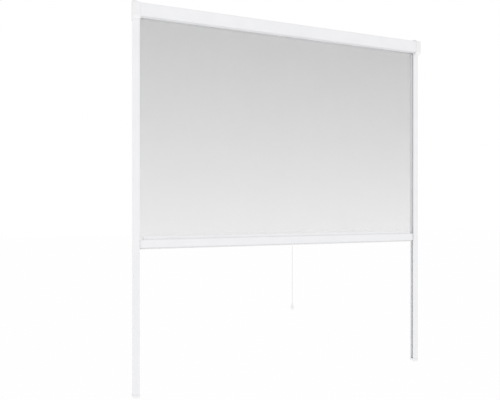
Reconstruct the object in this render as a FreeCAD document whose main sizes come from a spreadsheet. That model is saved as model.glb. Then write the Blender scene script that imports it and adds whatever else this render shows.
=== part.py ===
# Roller insect screen for a window
# A cassette on top holds the wound mesh. Two guide rails stand below it, and a pull bar slides between them.
# Row axes: X to the right, Y toward the wall, Z up. The back plane is y = 0, and z = 0 is half way up the rails.
import FreeCAD, Part
import os
import Sketcher
from FreeCAD import Rotation, Vector

doc = FreeCAD.newDocument("roller_screen")
sheet = doc.addObject("Spreadsheet::Sheet", "sizes")

# Driving dimensions in millimetres
SIZES = [
    ("overall_width", 1300),
    ("overall_height", 1450),
    ("overlap", 1),
    ("fit_play", 0.2),
    # cassette
    ("cassette_height", 50),
    ("cassette_depth", 42),
    ("cassette_wall", 1.3),
    ("cassette_round", 4),
    ("drip_edge_height", 2.2),
    ("drip_edge_stand", 0.4),
    ("joint_gap", 0.4),
    ("mouth_reach", 5.35),
    # guide rails
    ("rail_width", 23),
    ("rail_depth", 28),
    ("rail_wall", 1.4),
    ("rail_web", 1.2),
    ("rail_margin", 3),
    ("rail_round", 1.5),
    ("channel_depth", 3.2),
    ("channel_lip", 1),
    ("channel_lip_width", 2),
    # brush seals and the slots that hold them
    ("mesh_plane", 13.25),
    ("brush_base_width", 5),
    ("brush_base_height", 1),
    ("brush_pile_width", 3.4),
    ("brush_slot_play", 0.1),
    ("slot_lip", 0.7),
    ("slot_rib", 0.8),
    ("slot_edge", 2),
    ("brush_gap", 3.9),
    ("brush_end_gap", 1),
    # end caps and feet
    ("cap_width", 25),
    ("cap_wall", 1.8),
    ("cap_stand_front", 0.8),
    ("cap_stand_top", 1.5),
    ("collar_length", 12),
    ("collar_wall", 1.5),
    ("collar_play", 0.1),
    ("collar_back_height", 33),
    ("collar_front_height", 10),
    ("neck_drop", 10),
    ("neck_front", 8.5),
    ("neck_round", 8),
    ("mesh_slot_width", 5.5),
    ("mesh_slot_end", 2),
    ("tenon_length", 12),
    ("lug_width", 21),
    ("lug_height", 13),
    ("lug_depth", 14),
    ("lug_round", 4),
    ("lug_hole", 4.6),
    ("lug_head", 9),
    ("lug_head_depth", 9),
    ("foot_floor", 7),
    ("foot_height", 15),
    ("foot_stand", 1.2),
    ("foot_round", 10),
    # roller and spring
    ("tube_radius", 8.5),
    ("tube_wall", 1),
    ("wound_radius", 11.4),
    ("wound_play", 0.02),
    ("tube_past_mesh", 1),
    ("roller_drop", 22.5),
    ("plug_play", 0.04),
    ("plug_length", 25),
    ("flange_thickness", 2),
    ("flange_stand", 1),
    ("axle_radius", 2.5),
    ("axle_play", 0.06),
    ("axle_end_gap", 2),
    ("shaft_radius", 2),
    ("shaft_play", 0.01),
    ("shaft_stub", 4),
    ("hub_radius", 6),
    ("hub_wall", 2),
    ("hub_length", 8),
    ("hub_root", 0.5),
    ("drive_length", 61),
    ("anchor_length", 20),
    ("anchor_stand", 0.4),
    ("spring_coil_radius", 5),
    ("spring_wire_radius", 0.6),
    ("spring_pitch", 12),
    ("spring_turns", 20),
    # mesh
    ("mesh_thickness", 0.3),
    ("selvedge_thickness", 0.5),
    ("selvedge_width", 8),
    ("mesh_in_rail", 8),
    ("band_start", 14),
    # pull bar
    ("bar_drop", 856.5),
    ("bar_depth", 15),
    ("bar_setback", 6),
    ("bar_wall", 1.4),
    ("bar_shoulder_height", 11),
    ("bar_shoulder_depth", 8),
    ("bar_body_height", 29.6),
    ("bar_brush_drop", 5.8),
    ("bar_round", 1),
    ("keder_radius", 1.8),
    ("keder_play", 0.3),
    ("keder_slot", 1.1),
    ("keder_top_gap", 0.1),
    ("slider_block", 14.5),
    ("slider_gap", 1.5),
    ("slider_spigot", 18),
    ("spigot_wall", 2),
    ("tongue_thickness", 3),
    ("tongue_lift", 7),
    ("slider_foot_width", 10),
    ("slider_foot_play", 0.6),
    ("slider_foot_inset", 2),
    ("slider_foot_round", 2),
    # pull cord
    ("cord_x", 9),
    ("cord_radius", 1),
    ("cord_play", 0.05),
    ("cord_head_gap", 1.5),
    ("cord_length", 242),
    ("cord_in_knob", 9),
    ("knob_height", 24),
    ("knob_radius", 7.2),
    ("knob_neck_radius", 2.4),
    ("knob_bore_depth", 10),
    ("knob_bore_play", 0.1),
    ("eyelet_width", 7),
    ("eyelet_depth", 4),
    ("eyelet_height", 4.5),
    ("eyelet_stand", 0.8),
    ("eyelet_roof", 1),
    ("eyelet_round", 2.5),
    # wall clips
    ("clip_height", 30),
    ("clip_thickness", 2.9),
    ("clip_play", 0.3),
    ("clip_root", 0.5),
    ("screw_hole", 4.2),
    ("screw_head", 8),
    ("screw_inset", 100),
]
for row, (alias, number) in enumerate(SIZES, 1):
    sheet.set(f"A{row}", alias)
    sheet.set(f"B{row}", str(number))
    sheet.setAlias(f"B{row}", alias)
doc.recompute()


class Size:
    """A length together with the formula that ties it to the sheet."""

    def __init__(self, value, formula):
        self.value = value
        self.formula = formula

    def __add__(self, other):
        other = as_size(other)
        return Size(self.value + other.value, f"({self.formula} + {other.formula})")

    def __sub__(self, other):
        other = as_size(other)
        return Size(self.value - other.value, f"({self.formula} - {other.formula})")

    def __rsub__(self, other):
        return as_size(other) - self

    def __neg__(self):
        return Size(-self.value, f"(0 - {self.formula})")

    def __mul__(self, factor):
        return Size(self.value * factor, f"({self.formula} * {factor})")

    def __truediv__(self, factor):
        return Size(self.value / factor, f"({self.formula} / {factor})")


def as_size(number):
    return number if isinstance(number, Size) else Size(float(number), str(number))


def named(alias):
    return Size(float(sheet.get(alias)), f"sizes.{alias}")


def bind(thing, prop, size):
    thing.setExpression(prop, as_size(size).formula)


ZERO = as_size(0)
overlap = named("overlap")


# Building helpers
def place(thing, x=ZERO, y=ZERO, z=ZERO):
    """Puts a piece at a spot that follows the sheet."""
    spot = [as_size(value) for value in (x, y, z)]
    thing.Placement.Base = Vector(*(size.value for size in spot))
    for name, size in zip("xyz", spot):
        bind(thing, f"Placement.Base.{name}", size)


def new_body(label):
    thing = doc.addObject("PartDesign::Body", label)
    thing.Label = label
    return thing


def new_sketch(body, name, plane):
    """Opens a drawing on one of the body's own planes."""
    drawing = body.newObject("Sketcher::SketchObject", name)
    for feature in body.Origin.OriginFeatures:
        if feature.Role == plane:
            drawing.AttachmentSupport = [(feature, "")]
    drawing.MapMode = "FlatFace"
    return drawing


def draw_loop(drawing, corners):
    """Closes a loop of straight lines, each corner tied to the sheet."""
    corners = [(as_size(a), as_size(b)) for a, b in corners]
    first = drawing.GeometryCount
    count = len(corners)
    for number, (a, b) in enumerate(corners):
        c, d = corners[(number + 1) % count]
        start = Vector(a.value, b.value, 0)
        end = Vector(c.value, d.value, 0)
        drawing.addGeometry(Part.LineSegment(start, end), False)
    for number in range(count):
        here = first + number
        after = first + (number + 1) % count
        drawing.addConstraint(Sketcher.Constraint("Coincident", here, 2, after, 1))
    for number, (a, b) in enumerate(corners):
        for kind, size in (("DistanceX", a), ("DistanceY", b)):
            index = drawing.addConstraint(Sketcher.Constraint(kind, -1, 1, first + number, 1, size.value))
            drawing.setExpression(f"Constraints[{index}]", size.formula)


def draw_circle(drawing, a, b, radius):
    """Draws a circle with its centre and radius tied to the sheet."""
    a, b, radius = as_size(a), as_size(b), as_size(radius)
    ring = drawing.addGeometry(Part.Circle(Vector(a.value, b.value, 0), Vector(0, 0, 1), radius.value), False)
    for kind, size in (("DistanceX", a), ("DistanceY", b)):
        index = drawing.addConstraint(Sketcher.Constraint(kind, -1, 1, ring, 3, size.value))
        drawing.setExpression(f"Constraints[{index}]", size.formula)
    index = drawing.addConstraint(Sketcher.Constraint("Radius", ring, radius.value))
    drawing.setExpression(f"Constraints[{index}]", radius.formula)


def rectangle(a, b):
    """Gives the four corners of a rectangle from its two ranges."""
    return [(a[0], b[0]), (a[1], b[0]), (a[1], b[1]), (a[0], b[1])]


def extrude(body, drawing, length, name):
    feature = body.newObject("PartDesign::Pad", name)
    feature.Profile = drawing
    bind(feature, "Length", length)
    drawing.Visibility = False
    return feature


def cut_through(body, drawing, length, name):
    """Cuts a drawing out of the body on the side that has material."""
    doc.recompute()
    before = body.Shape.Volume
    feature = body.newObject("PartDesign::Pocket", name)
    feature.Profile = drawing
    bind(feature, "Length", length)
    doc.recompute()
    if body.Shape.Volume > before - 0.01:
        feature.Reversed = True
        doc.recompute()
    return feature


def edges_along(shape, axis, spots):
    """Numbers the straight edges that run along an axis through the given spots."""
    found = []
    for number, edge in enumerate(shape.Edges, 1):
        if len(edge.Vertexes) != 2:
            continue
        start, end = (corner.Point for corner in edge.Vertexes)
        way = end - start
        if abs(abs(way[axis]) - way.Length) > 1e-6:
            continue
        flat = [start[k] for k in range(3) if k != axis]
        for a, b in spots:
            if abs(flat[0] - as_size(a).value) < 0.01 and abs(flat[1] - as_size(b).value) < 0.01:
                found.append(number)
    return found


def round_body(body, feature, axis, spots, radius, name):
    """Rounds the edges of a body that run along an axis."""
    doc.recompute()
    numbers = edges_along(feature.Shape, "xyz".index(axis), spots)
    fillet = body.newObject("PartDesign::Fillet", name)
    fillet.Base = (feature, [f"Edge{number}" for number in numbers])
    bind(fillet, "Radius", radius)
    return fillet


def block(name, x, y, z):
    """Makes a box from its three ranges."""
    box = doc.addObject("Part::Box", name)
    ranges = [[as_size(value) for value in pair] for pair in (x, y, z)]
    for prop, (low, high) in zip(("Length", "Width", "Height"), ranges):
        bind(box, prop, high - low)
    place(box, *(low for low, _ in ranges))
    return box


def rod(name, axis, radius, start, length, a, b):
    """Makes a round bar along an axis; a and b are its other two coordinates in row order."""
    bar = doc.addObject("Part::Cylinder", name)
    bind(bar, "Radius", radius)
    bind(bar, "Height", length)
    turn = {"x": Rotation(Vector(0, 1, 0), 90), "y": Rotation(Vector(1, 0, 0), -90), "z": Rotation()}
    bar.Placement.Rotation = turn[axis]
    spots = {"x": (start, a, b), "y": (a, start, b), "z": (a, b, start)}
    place(bar, *spots[axis])
    return bar


def joined(name, pieces):
    whole = doc.addObject("Part::MultiFuse", name)
    whole.Shapes = pieces
    whole.Refine = True
    return whole


def carved(name, base, tools):
    """Takes tools away from a base."""
    tool = tools[0] if len(tools) == 1 else joined(name + "_tools", tools)
    rest = doc.addObject("Part::Cut", name)
    rest.Base = base
    rest.Tool = tool
    rest.Refine = True
    return rest


def rounded(name, base, axis_spots, radius):
    """Rounds chosen straight edges of a plain solid."""
    doc.recompute()
    numbers = []
    for axis, spots in axis_spots:
        numbers += edges_along(base.Shape, "xyz".index(axis), spots)
    fillet = doc.addObject("Part::Fillet", name)
    fillet.Base = base
    fillet.Edges = [(number, radius.value, radius.value) for number in sorted(set(numbers))]
    return fillet


def mirrored(name, source):
    """Makes the right-hand piece from the left-hand one."""
    other = doc.addObject("Part::Mirroring", name)
    other.Source = source
    other.Base = Vector(0, 0, 0)
    other.Normal = Vector(1, 0, 0)
    return other


nodes = {}


def keep(name, thing):
    thing.Label = name
    nodes[name] = thing


# Levels and lines that several pieces share
half_width = named("overall_width") / 2
top = (named("overall_height") + named("cassette_height")) / 2
bottom = (named("cassette_height") - named("overall_height")) / 2
cassette_floor = top - named("cassette_height")
profile_end = half_width - named("cap_width")
rail_outer = half_width - named("rail_margin")
rail_inner = rail_outer - named("rail_width")
mesh_y = -named("mesh_plane")
mesh_edge = rail_inner + named("mesh_in_rail")
roller_y = mesh_y - named("mesh_thickness") - named("mesh_thickness") / 2 - named("wound_radius")
roller_z = top - named("roller_drop")
bar_top = top - named("bar_drop")
bar_step = bar_top - named("bar_shoulder_height")
bar_floor = bar_step - named("bar_body_height")
bar_front = named("bar_setback") - named("rail_depth")
bar_back = bar_front + named("bar_depth")
bar_middle = (bar_front + bar_back) / 2

# Brush slot: a strip base sits behind two lips, and its pile looks out between them
slot_half = named("brush_base_width") / 2 + named("brush_slot_play")
slot_deep = named("brush_base_height") + named("brush_slot_play")
mouth_half = named("brush_pile_width") / 2 + named("brush_slot_play") * 2
lip = named("slot_lip")


# Guide rails: one hollow section with a wall channel behind, a brush groove beside and a closed chamber in front
def rail_corner(across, deep):
    return (across - rail_outer, -as_size(deep))


wall = named("rail_wall")
width = named("rail_width")
web_back = named("channel_depth")
web_front = web_back + named("rail_web")
far_web = named("mesh_plane") * 2 - web_front
far_web_front = far_web + named("rail_web")
lip_top = web_front + slot_deep + lip
far_lip = named("mesh_plane") * 2 - lip_top
slot_mid = width - named("slot_edge") - slot_half
slot_in = slot_mid - slot_half
slot_out = slot_mid + slot_half
rib_in = slot_in - named("slot_rib")
mouth_in = slot_mid - mouth_half
mouth_out = slot_mid + mouth_half
lips_reach = wall + named("channel_lip_width")

rail = new_body("left_rail")
section = new_sketch(rail, "rail_section", "XY_Plane")
half_loop = [
    (width, lip_top),
    (mouth_out, lip_top),
    (mouth_out, web_front + slot_deep),
    (slot_out, web_front + slot_deep),
    (slot_out, web_front),
    (slot_in, web_front),
    (slot_in, web_front + slot_deep),
    (mouth_in, web_front + slot_deep),
    (mouth_in, lip_top),
    (rib_in, lip_top),
    (rib_in, web_front),
    (wall, web_front),
]
other_half = [(across, named("mesh_plane") * 2 - deep) for across, deep in reversed(half_loop)]
loop = [
    (ZERO, ZERO),
    (lips_reach, ZERO),
    (lips_reach, named("channel_lip")),
    (wall, named("channel_lip")),
    (wall, web_back),
    (width - wall, web_back),
    (width - wall, named("channel_lip")),
    (width - lips_reach, named("channel_lip")),
    (width - lips_reach, ZERO),
    (width, ZERO),
]
loop += half_loop + other_half + [(width, named("rail_depth")), (ZERO, named("rail_depth"))]
draw_loop(section, [rail_corner(a, b) for a, b in loop])
chamber = rectangle((wall, width - wall), (far_web_front, named("rail_depth") - wall))
draw_loop(section, [rail_corner(a, b) for a, b in chamber])
rail_foot = bottom + named("foot_floor")
rail_length = cassette_floor - rail_foot
bars = extrude(rail, section, rail_length, "rail_length")
front_edges = [rail_corner(ZERO, named("rail_depth")), rail_corner(width, named("rail_depth"))]
rail.Tip = round_body(rail, bars, "z", front_edges, named("rail_round"), "rail_front_rounds")
place(rail, ZERO, ZERO, rail_foot)
keep("left_rail", rail)
keep("right_rail", mirrored("right_rail", rail))


# Brush seals of the rails: a strip base and its pile as one section
def rail_brush(name, deep_base, toward):
    """Makes one seal; toward is +1 for pile that points to the front."""
    strip = new_body(name)
    drawing = new_sketch(strip, name + "_section", "XY_Plane")
    base = named("brush_base_width") / 2
    pile = named("brush_pile_width") / 2
    start = deep_base
    step = deep_base + named("brush_base_height") * toward
    tip = named("mesh_plane") - named("brush_gap") / 2 * toward
    corners = [
        (slot_mid - base, start),
        (slot_mid + base, start),
        (slot_mid + base, step),
        (slot_mid + pile, step),
        (slot_mid + pile, tip),
        (slot_mid - pile, tip),
        (slot_mid - pile, step),
        (slot_mid - base, step),
    ]
    draw_loop(drawing, [rail_corner(a, b) for a, b in corners])
    extrude(strip, drawing, rail_length - named("brush_end_gap") * 2, name + "_length")
    place(strip, ZERO, ZERO, rail_foot + named("brush_end_gap"))
    return strip


rear_brush = rail_brush("left_rear_brush", web_front, 1)
front_brush = rail_brush("left_front_brush", far_web, -1)
keep("left_rear_brush", rear_brush)
keep("left_front_brush", front_brush)
keep("right_rear_brush", mirrored("right_rear_brush", rear_brush))
keep("right_front_brush", mirrored("right_front_brush", front_brush))

# Cassette: an open section with two brush slots on either side of the mesh
cw = named("cassette_wall")
depth = named("cassette_depth")
cf = cassette_floor
slot_floor = cf + cw
slot_roof = slot_floor + slot_half * 2
low_lip = slot_floor + slot_half - mouth_half
high_lip = slot_floor + slot_half + mouth_half
mouth_y = named("mesh_plane") - named("mouth_reach")
rear_half = [
    (-mouth_y, cf),
    (-mouth_y, low_lip),
    (lip - mouth_y, low_lip),
    (lip - mouth_y, slot_floor),
    (lip + slot_deep - mouth_y, slot_floor),
    (lip + slot_deep - mouth_y, slot_roof),
    (lip - mouth_y, slot_roof),
    (lip - mouth_y, high_lip),
    (-mouth_y, high_lip),
    (-mouth_y, slot_roof + cw),
    (lip + slot_deep + cw - mouth_y, slot_roof + cw),
    (lip + slot_deep + cw - mouth_y, slot_floor),
]
front_half = [(mesh_y * 2 - y, z) for y, z in reversed(rear_half)]
cassette_end = profile_end - named("joint_gap")
cassette = new_body("cassette_profile")
drawing = new_sketch(cassette, "cassette_section", "YZ_Plane")
loop = [(ZERO, cf)] + rear_half
loop += [(-cw, slot_floor), (-cw, top - cw), (cw - depth, top - cw), (cw - depth, slot_floor)]
loop += front_half
drip = depth + named("drip_edge_stand")
loop += [(-drip, cf), (-drip, cf + named("drip_edge_height")), (-depth, cf + named("drip_edge_height"))]
loop += [(-depth, top), (ZERO, top)]
draw_loop(drawing, loop)
bars = extrude(cassette, drawing, cassette_end * 2, "cassette_length")
outside = round_body(cassette, bars, "x", [(-depth, top)], named("cassette_round"), "cassette_front_round")
inside_round = named("cassette_round") - cw
inside = round_body(cassette, outside, "x", [(cw - depth, top - cw)], inside_round, "cassette_inside_round")
cassette.Tip = inside
place(cassette, -cassette_end)
keep("cassette_profile", cassette)


# Brush seals of the cassette mouth
def mouth_brush(name, side):
    """Makes one seal; side is +1 behind the mesh and -1 in front of it."""
    strip = new_body(name)
    drawing = new_sketch(strip, name + "_section", "YZ_Plane")
    middle = slot_floor + slot_half
    base = named("brush_base_width") / 2
    pile = named("brush_pile_width") / 2
    start = (named("mesh_plane") - mouth_y + lip + slot_deep) * side + mesh_y
    step = start - named("brush_base_height") * side
    tip = mesh_y + named("brush_gap") / 4 * side
    corners = [
        (start, middle - base),
        (start, middle + base),
        (step, middle + base),
        (step, middle + pile),
        (tip, middle + pile),
        (tip, middle - pile),
        (step, middle - pile),
        (step, middle - base),
    ]
    draw_loop(drawing, corners)
    extrude(strip, drawing, (cassette_end - named("brush_end_gap")) * 2, name + "_length")
    place(strip, named("brush_end_gap") - cassette_end)
    return strip


keep("mouth_rear_brush", mouth_brush("mouth_rear_brush", 1))
keep("mouth_front_brush", mouth_brush("mouth_front_brush", -1))

# End caps: a hollow block over the rail head with a sloped neck, a collar in the cassette, a wall lug on top
cap_front = -(depth + named("cap_stand_front"))
cap_top = top + named("cap_stand_top")
cap_x = (-half_width, -profile_end)
rail_front = -named("rail_depth")
neck_front = rail_front - named("neck_front")
neck_floor = cf - named("neck_drop")
c_wall = named("cap_wall")
play = cw + named("collar_play")
room_y = (play - depth, -play)
room_top = top - play
outer_x = (-half_width, -rail_outer)
room_x = (c_wall - half_width, overlap - profile_end)

shell = new_body("cap_block")
drawing = new_sketch(shell, "cap_side_outline", "YZ_Plane")
outline = [
    (ZERO, cf),
    (rail_front, cf),
    (rail_front, neck_floor),
    (neck_front, neck_floor),
    (cap_front, cf),
    (cap_front, cap_top),
    (ZERO, cap_top),
]
draw_loop(drawing, outline)
plain = extrude(shell, drawing, named("cap_width"), "cap_block_width")
crown = round_body(shell, plain, "x", [(cap_front, cap_top)], named("cassette_round"), "cap_top_round")
shell.Tip = round_body(shell, crown, "x", [(cap_front, cf)], named("neck_round"), "cap_neck_round")
place(shell, -half_width)
side = block("cap_side", outer_x, (rail_front, ZERO), (neck_floor, cf + overlap))
lug_x = (-half_width, named("lug_width") - half_width)
lug_top = top + named("lug_height")
lug = block("cap_lug", lug_x, (-named("lug_depth"), ZERO), (top - overlap, lug_top))
lug = rounded("cap_lug_rounded", lug, [("y", [(lug_x[0], lug_top), (lug_x[1], lug_top)])], named("lug_round"))
solid = joined("cap_solid", [shell, side, lug])
root_round = named("cap_width") - named("lug_width") - overlap / 2
solid = rounded("cap_lug_root", solid, [("y", [(lug_x[1], cap_top)])], root_round)
room = block("cap_room", room_x, room_y, (cf + c_wall, room_top))
neck_room_x = (c_wall - half_width, -profile_end - c_wall)
neck_room_y = (neck_front + c_wall, rail_front - c_wall)
neck_room = block("cap_neck_room", neck_room_x, neck_room_y, (neck_floor + c_wall, cf + c_wall + overlap))
slot_x = (-mesh_edge - named("mesh_slot_end"), overlap - profile_end)
slot_y = (mesh_y - named("mesh_slot_width") / 2, mesh_y + named("mesh_slot_width") / 2)
mesh_slot = block("cap_mesh_slot", slot_x, slot_y, (cf - overlap, cf + c_wall + overlap))
lug_middle = named("lug_width") / 2 - half_width
lug_z = top + named("lug_height") / 2
lug_front = -named("lug_depth") - overlap
hole_length = named("lug_depth") + overlap * 2
hole = rod("cap_lug_hole", "y", named("lug_hole") / 2, lug_front, hole_length, lug_middle, lug_z)
head_length = named("lug_head_depth") + overlap
head = rod("cap_lug_head", "y", named("lug_head") / 2, lug_front, head_length, lug_middle, lug_z)
hollow = carved("cap_hollow", solid, [room, neck_room, mesh_slot, hole, head])
hub_length = named("hub_length")
hub_root = c_wall - half_width - named("hub_root")
hub_outer = named("hub_radius") + named("hub_wall")
hub = rod("cap_hub", "x", hub_outer, hub_root, hub_length + named("hub_root"), roller_y, roller_z)
bore_start = c_wall - half_width
hub_bore = rod("cap_hub_bore", "x", named("hub_radius"), bore_start, hub_length + overlap, roller_y, roller_z)
hub_ring = carved("cap_hub_ring", hub, [hub_bore])
collar_x = (-profile_end - overlap * 3, named("collar_length") - profile_end)
k = named("collar_wall")
back_z = (room_top - named("collar_back_height"), room_top)
front_z = (room_top - named("collar_front_height"), room_top)
collar_back = block("collar_back", collar_x, (-play - k, -play), back_z)
collar_top = block("collar_top", collar_x, room_y, (room_top - k, room_top))
collar_front = block("collar_front", collar_x, (play - depth, play - depth + k), front_z)
collar = joined("collar", [collar_back, collar_top, collar_front])
collar = rounded("collar_rounded", collar, [("x", [(play - depth, room_top)])], named("cassette_round") - play)
fit = named("fit_play")
tenon_x = (wall + fit - rail_outer, width - wall - fit - rail_outer)
tenon_y = (wall + fit - named("rail_depth"), -far_web_front - fit)
tenon = block("cap_tenon", tenon_x, tenon_y, (cf - named("tenon_length"), cf + overlap))
cap = joined("left_end_cap", [hollow, hub_ring, collar, tenon])
keep("left_end_cap", cap)
keep("right_end_cap", mirrored("right_end_cap", cap))

# Feet: a cup around the rail's end that is open at the back, with a tenon in the front chamber
stand = named("foot_stand")
foot_x = (-rail_outer - stand, stand - rail_inner)
foot_top = bottom + named("foot_height")
foot_y = (rail_front - stand, ZERO)
cup = block("foot_cup", foot_x, foot_y, (bottom, foot_top))
front_corners = [(foot_x[0], foot_y[0]), (foot_x[1], foot_y[0])]
cup = rounded("foot_cup_front", cup, [("z", front_corners)], named("rail_round") + stand / 2)
floor_corners = [(foot_x[0], bottom), (foot_x[1], bottom)]
cup = rounded("foot_cup_floor", cup, [("y", floor_corners)], named("foot_round"))
rail_room = block("foot_room", (-rail_outer, -rail_inner), (rail_front, overlap), (rail_foot, foot_top + overlap))
foot = carved("foot_open", cup, [rail_room])
foot_tenon = block("foot_tenon", tenon_x, tenon_y, (rail_foot - overlap, rail_foot + named("tenon_length")))
keep("left_foot", joined("left_foot", [foot, foot_tenon]))
keep("right_foot", mirrored("right_foot", nodes["left_foot"]))


# Roller: tube, wound mesh, plugs and the fixed spring shaft
def turned(name, outer, inner, x, length):
    """Makes a ring around the roller axis."""
    ring = new_body(name)
    drawing = new_sketch(ring, name + "_section", "YZ_Plane")
    draw_circle(drawing, ZERO, ZERO, outer)
    if inner is not None:
        draw_circle(drawing, ZERO, ZERO, inner)
    extrude(ring, drawing, length, name + "_length")
    place(ring, x, roller_y, roller_z)
    return ring


tube_end = mesh_edge + named("tube_past_mesh")
tube_bore = named("tube_radius") - named("tube_wall")
keep("roller_tube", turned("roller_tube", named("tube_radius"), tube_bore, -tube_end, tube_end * 2))
wound_bore = named("tube_radius") + named("wound_play")
keep("mesh_roll", turned("mesh_roll", named("wound_radius"), wound_bore, -mesh_edge, mesh_edge * 2))

plug_radius = tube_bore - named("plug_play")
flange_radius = named("tube_radius") + named("flange_stand")
flange = named("flange_thickness")
flange_end = tube_end + flange
pin_end = half_width - c_wall - named("axle_end_gap")
pin_length = pin_end - flange_end + overlap
plug_body = rod("plug_body", "x", plug_radius, -tube_end, named("plug_length"), roller_y, roller_z)
plug_flange = rod("plug_flange", "x", flange_radius, -flange_end, flange, roller_y, roller_z)
plug_pin = rod("plug_pin", "x", named("axle_radius"), -pin_end, pin_length, roller_y, roller_z)
keep("left_roller_plug", joined("left_roller_plug", [plug_body, plug_flange, plug_pin]))

bush_radius = named("hub_radius") - named("plug_play")
bush = rod("bush_body", "x", bush_radius, bore_start, hub_length, roller_y, roller_z)
bush_bore_radius = named("axle_radius") + named("axle_play")
bush_bore = rod("bush_bore", "x", bush_bore_radius, -pin_end - overlap, pin_end, roller_y, roller_z)
keep("roller_bearing", carved("roller_bearing", bush, [bush_bore]))

spring_length = Size(
    named("spring_pitch").value * named("spring_turns").value,
    "(sizes.spring_pitch * sizes.spring_turns)",
)
spring_end = tube_end - named("drive_length") - overlap
spring_start = spring_end - spring_length
anchor_length = named("anchor_length")
anchor_start = spring_start - anchor_length
shaft_end = half_width - c_wall - overlap
shaft_start = anchor_start - named("shaft_stub")
shaft_length = shaft_end - shaft_start
keep("spring_shaft", rod("spring_shaft", "x", named("shaft_radius"), shaft_start, shaft_length, roller_y, roller_z))
tight = named("shaft_radius") + named("shaft_play")
holder_start = half_width - c_wall - hub_length
holder = rod("holder_body", "x", bush_radius, holder_start, hub_length, roller_y, roller_z)
holder_bore = rod("holder_bore", "x", tight, holder_start - overlap, hub_length, roller_y, roller_z)
keep("shaft_holder", carved("shaft_holder", holder, [holder_bore]))
anchor_radius = named("hub_radius") + named("anchor_stand")
anchor = rod("anchor_body", "x", anchor_radius, anchor_start, anchor_length, roller_y, roller_z)
anchor_bore_length = anchor_length + overlap * 2
anchor_bore = rod("anchor_bore", "x", tight, anchor_start - overlap, anchor_bore_length, roller_y, roller_z)
keep("spring_anchor", carved("spring_anchor", anchor, [anchor_bore]))
drive_start = spring_end + overlap
drive = rod("drive_body", "x", plug_radius, drive_start, named("drive_length"), roller_y, roller_z)
drive_flange = rod("drive_flange", "x", flange_radius, tube_end, flange, roller_y, roller_z)
drive_bore_radius = named("shaft_radius") + named("axle_play")
drive_bore_length = named("drive_length") + flange + overlap * 2
drive_bore = rod("drive_bore", "x", drive_bore_radius, spring_end, drive_bore_length, roller_y, roller_z)
drive_solid = joined("drive_solid", [drive, drive_flange])
keep("right_roller_plug", carved("right_roller_plug", drive_solid, [drive_bore]))

spine = doc.addObject("Part::Helix", "spring_spine")
bind(spine, "Pitch", named("spring_pitch"))
bind(spine, "Height", spring_length - named("spring_wire_radius") * 2)
bind(spine, "Radius", named("spring_coil_radius"))
wire = doc.addObject("Part::RegularPolygon", "spring_wire")
wire.Polygon = 4
bind(wire, "Circumradius", named("spring_wire_radius"))
wire.Placement.Rotation = Rotation(Vector(1, 0, 0), 90)
place(wire, named("spring_coil_radius"))
coil = doc.addObject("Part::Sweep", "roller_spring")
coil.Sections = [wire]
coil.Spine = (spine, ["Edge1"])
coil.Solid = True
coil.Frenet = True
coil.Placement.Rotation = Rotation(Vector(0, 1, 0), 90)
place(coil, spring_start + named("spring_wire_radius"), roller_y, roller_z)
keep("roller_spring", coil)

# Mesh: one thin sheet with a firmer band along each side
keder_z = bar_top - named("bar_shoulder_height") / 2
mesh_low = keder_z + named("keder_radius") + named("keder_play") + named("keder_top_gap")
half_sheet = named("mesh_thickness") / 2
half_band = named("selvedge_thickness") / 2
sheet_y = (mesh_y - half_sheet, mesh_y + half_sheet)
band_y = (mesh_y - half_band, mesh_y + half_band)
band_x = (-mesh_edge, named("selvedge_width") - mesh_edge)
band_top = roller_z - named("band_start")
middle_sheet = block("mesh_sheet", (-mesh_edge, mesh_edge), sheet_y, (mesh_low, roller_z))
left_band = block("mesh_left_band", band_x, band_y, (mesh_low, band_top))
right_band = block("mesh_right_band", (-band_x[1], -band_x[0]), band_y, (mesh_low, band_top))
keep("screen_mesh", joined("screen_mesh", [middle_sheet, left_band, right_band]))

# Pull bar: a shoulder that grips the mesh, a hollow body and a brush slot below
slider_outer = rail_inner - named("slider_gap")
slider_inner = slider_outer - named("slider_block")
bw = named("bar_wall")
shoulder = named("bar_shoulder_depth") / 2
slot_web = bar_floor + bw + slot_deep
slot_back = slot_web + bw
pull = new_body("bar_profile")
drawing = new_sketch(pull, "bar_section", "YZ_Plane")
loop = [
    (mesh_y + shoulder, bar_top),
    (mesh_y - shoulder, bar_top),
    (mesh_y - shoulder, bar_step),
    (bar_front, bar_step),
    (bar_front, bar_floor),
    (bar_middle - mouth_half, bar_floor),
    (bar_middle - mouth_half, bar_floor + bw),
    (bar_middle - slot_half, bar_floor + bw),
    (bar_middle - slot_half, slot_web),
    (bar_middle + slot_half, slot_web),
    (bar_middle + slot_half, bar_floor + bw),
    (bar_middle + mouth_half, bar_floor + bw),
    (bar_middle + mouth_half, bar_floor),
    (bar_back, bar_floor),
    (bar_back, bar_step),
    (mesh_y + shoulder, bar_step),
]
draw_loop(drawing, loop)
draw_loop(drawing, rectangle((bar_front + bw, bar_back - bw), (slot_back, bar_step - bw)))
bars = extrude(pull, drawing, slider_inner * 2, "bar_length")
groove = new_sketch(pull, "keder_groove_section", "YZ_Plane")
draw_circle(groove, mesh_y, keder_z, named("keder_radius") + named("keder_play"))
cut_through(pull, groove, slider_inner * 2, "keder_groove")
slit = new_sketch(pull, "keder_slit_section", "YZ_Plane")
slit_y = (mesh_y - named("keder_slot") / 2, mesh_y + named("keder_slot") / 2)
draw_loop(slit, rectangle(slit_y, (keder_z, bar_top + overlap)))
slit_cut = cut_through(pull, slit, slider_inner * 2, "keder_slit")
corners = [(bar_front, bar_step), (bar_front, bar_floor), (bar_back, bar_floor), (bar_back, bar_step)]
pull.Tip = round_body(pull, slit_cut, "x", corners, named("bar_round"), "bar_rounds")
place(pull, -slider_inner)
keep("bar_profile", pull)
keder_end = slider_inner - overlap
keep("mesh_keder", rod("mesh_keder", "x", named("keder_radius"), -keder_end, keder_end * 2, mesh_y, keder_z))

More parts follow.
